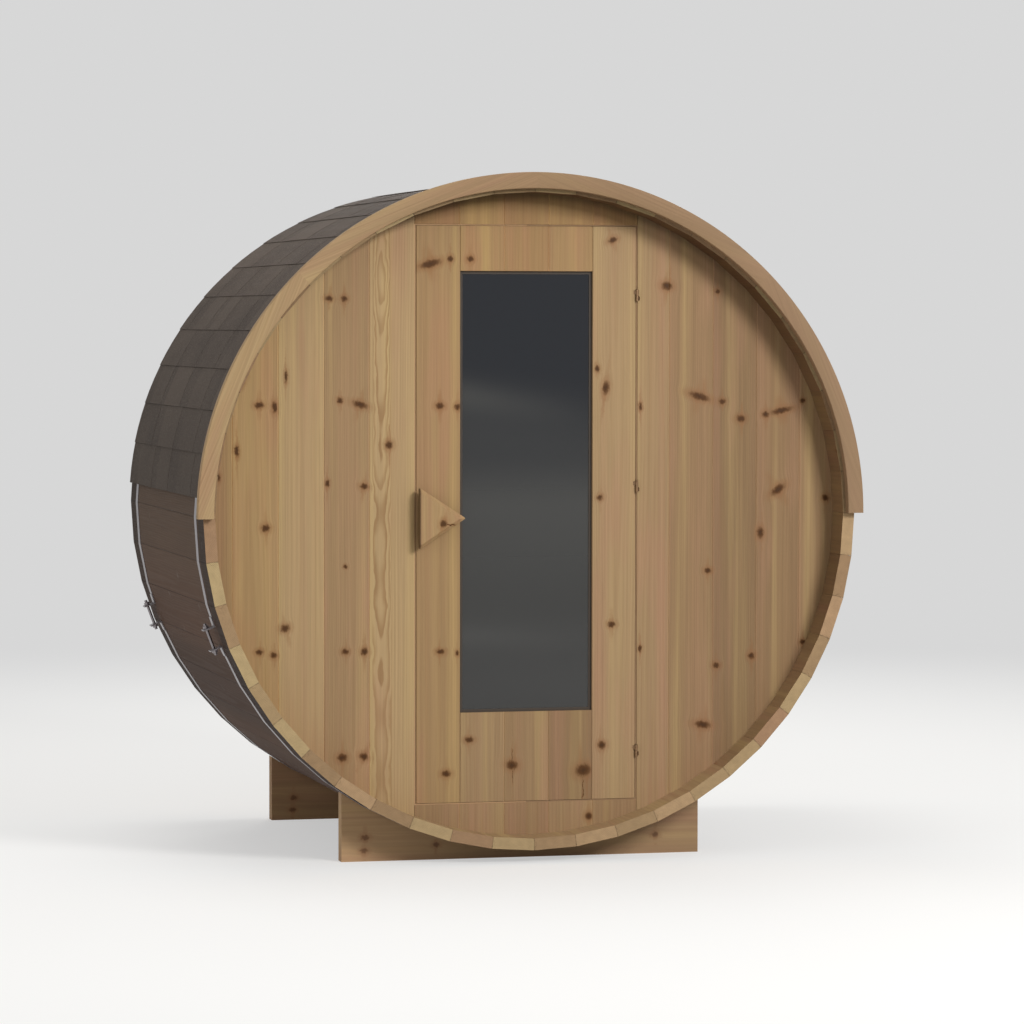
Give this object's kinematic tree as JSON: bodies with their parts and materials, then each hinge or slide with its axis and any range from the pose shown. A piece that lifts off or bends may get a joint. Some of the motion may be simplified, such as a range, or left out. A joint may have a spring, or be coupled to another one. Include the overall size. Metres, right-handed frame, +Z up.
{
  "type": "barrel sauna",
  "caption": "Round wooden barrel cabin on two cradles, with a shingled upper half, steel hoops, a boarded front wall and a hinged door with tall dark glass.",
  "frame": {"origin": "on the ground, under the middle of the whole, level with the undersides of the two cradles", "axes": "+Z up, the door looks towards -Y, +X to the right of someone who faces the door; the barrel lies along Y"},
  "size_m": [2.198, 1.5, 2.2158],
  "materials": {
    "stave_wood": "matte",
    "front_boards": "satin",
    "back_boards": "satin",
    "door_boards": "satin",
    "lath_wood": "satin",
    "handle_wood": "satin",
    "floor_wood": "satin",
    "cradle_wood": "satin",
    "trim_wood": "satin",
    "shingle": "matte",
    "smoked_glass": "gloss",
    "hoop_steel": "satin",
    "hinge_steel": "satin"
  },
  "bodies": {
    "cabin": {"staves_right": "stave_wood", "staves_right_shoulder": "stave_wood", "staves_top_right": "stave_wood", "staves_top": "stave_wood", "staves_top_left": "stave_wood", "staves_left_shoulder": "stave_wood", "staves_left": "stave_wood", "staves_lower_left": "stave_wood", "staves_bottom_left": "stave_wood", "staves_bottom": "stave_wood", "staves_bottom_right": "stave_wood", "staves_lower_right": "stave_wood", "front_wall_left": "front_boards", "front_wall_right": "front_boards", "front_wall_over_door": "front_boards", "front_wall_under_door": "front_boards", "back_wall_left": "back_boards", "back_wall_middle": "back_boards", "back_wall_right": "back_boards", "door_stops": "lath_wood", "hinge_barrels_wall": "hinge_steel", "hinge_pins": "hinge_steel", "floor_boards": "floor_wood", "floor_bearers": "floor_wood", "cradle_front": "cradle_wood", "cradle_rear": "cradle_wood", "hoop_front": "hoop_steel", "hoop_rear": "hoop_steel", "hoop_lugs_front": "hoop_steel", "hoop_lugs_rear": "hoop_steel", "tension_screw_front": "hoop_steel", "tension_screw_rear": "hoop_steel", "roof_left": "shingle", "roof_right": "shingle", "roof_ridge": "shingle", "front_trim": "trim_wood"},
    "door": {"door_stile_left": "door_boards", "door_stile_right": "door_boards", "door_boards_over_glass": "door_boards", "door_boards_under_glass": "door_boards", "door_glass": "smoked_glass", "door_ledges": "lath_wood", "door_handle_outer": "handle_wood", "door_handle_inner": "handle_wood", "hinge_barrels_door": "hinge_steel"}
  },
  "joints": [
    {"name": "door_hinge", "type": "hinge", "parent": "cabin", "child": "door", "pos_m": [0.3674, -0.6152, 1.1185], "axis": [0, 0, 1], "range_deg": [0, 110]}
  ]
}
